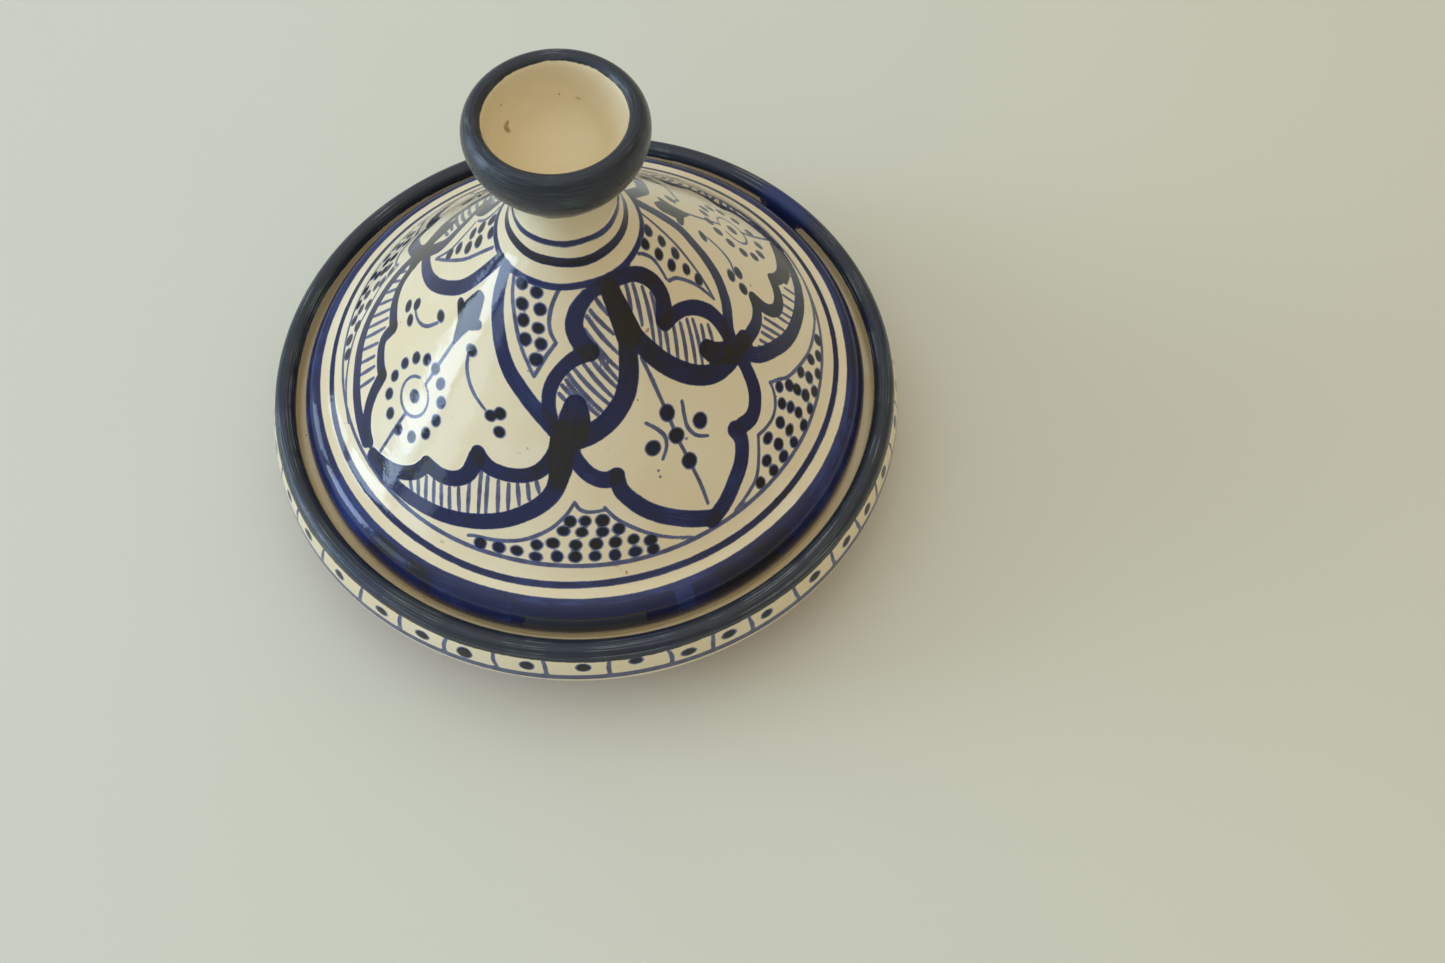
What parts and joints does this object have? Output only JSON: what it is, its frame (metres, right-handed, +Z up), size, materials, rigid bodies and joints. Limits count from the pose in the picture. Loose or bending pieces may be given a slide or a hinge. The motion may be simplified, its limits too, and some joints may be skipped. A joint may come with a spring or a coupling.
{
  "type": "tagine pot",
  "caption": "Round glazed dish with a rolled rim and a foot ring, and a conical lid with a waisted neck and a hollow cup knob that lifts off its seat inside the rim.",
  "frame": {"origin": "on the surface the pot stands on, at the centre of the foot ring", "axes": "+Z up along the axis both pieces were turned about; -Y is towards the side of the painted pattern that faces the viewer"},
  "size_m": [0.2868, 0.2868, 0.225],
  "materials": {
    "painted_glaze": "glossy cream glaze on red earthenware, brushed by hand with cobalt blue and blue-black; unglazed red clay under the foot"
  },
  "bodies": {
    "dish": {"dish": "painted_glaze"},
    "lid": {"lid": "painted_glaze"}
  },
  "joints": [
    {"name": "lid_lift", "type": "slide", "parent": "dish", "child": "lid", "axis": [0, 0, 1], "range_m": [0, 0.06]}
  ]
}
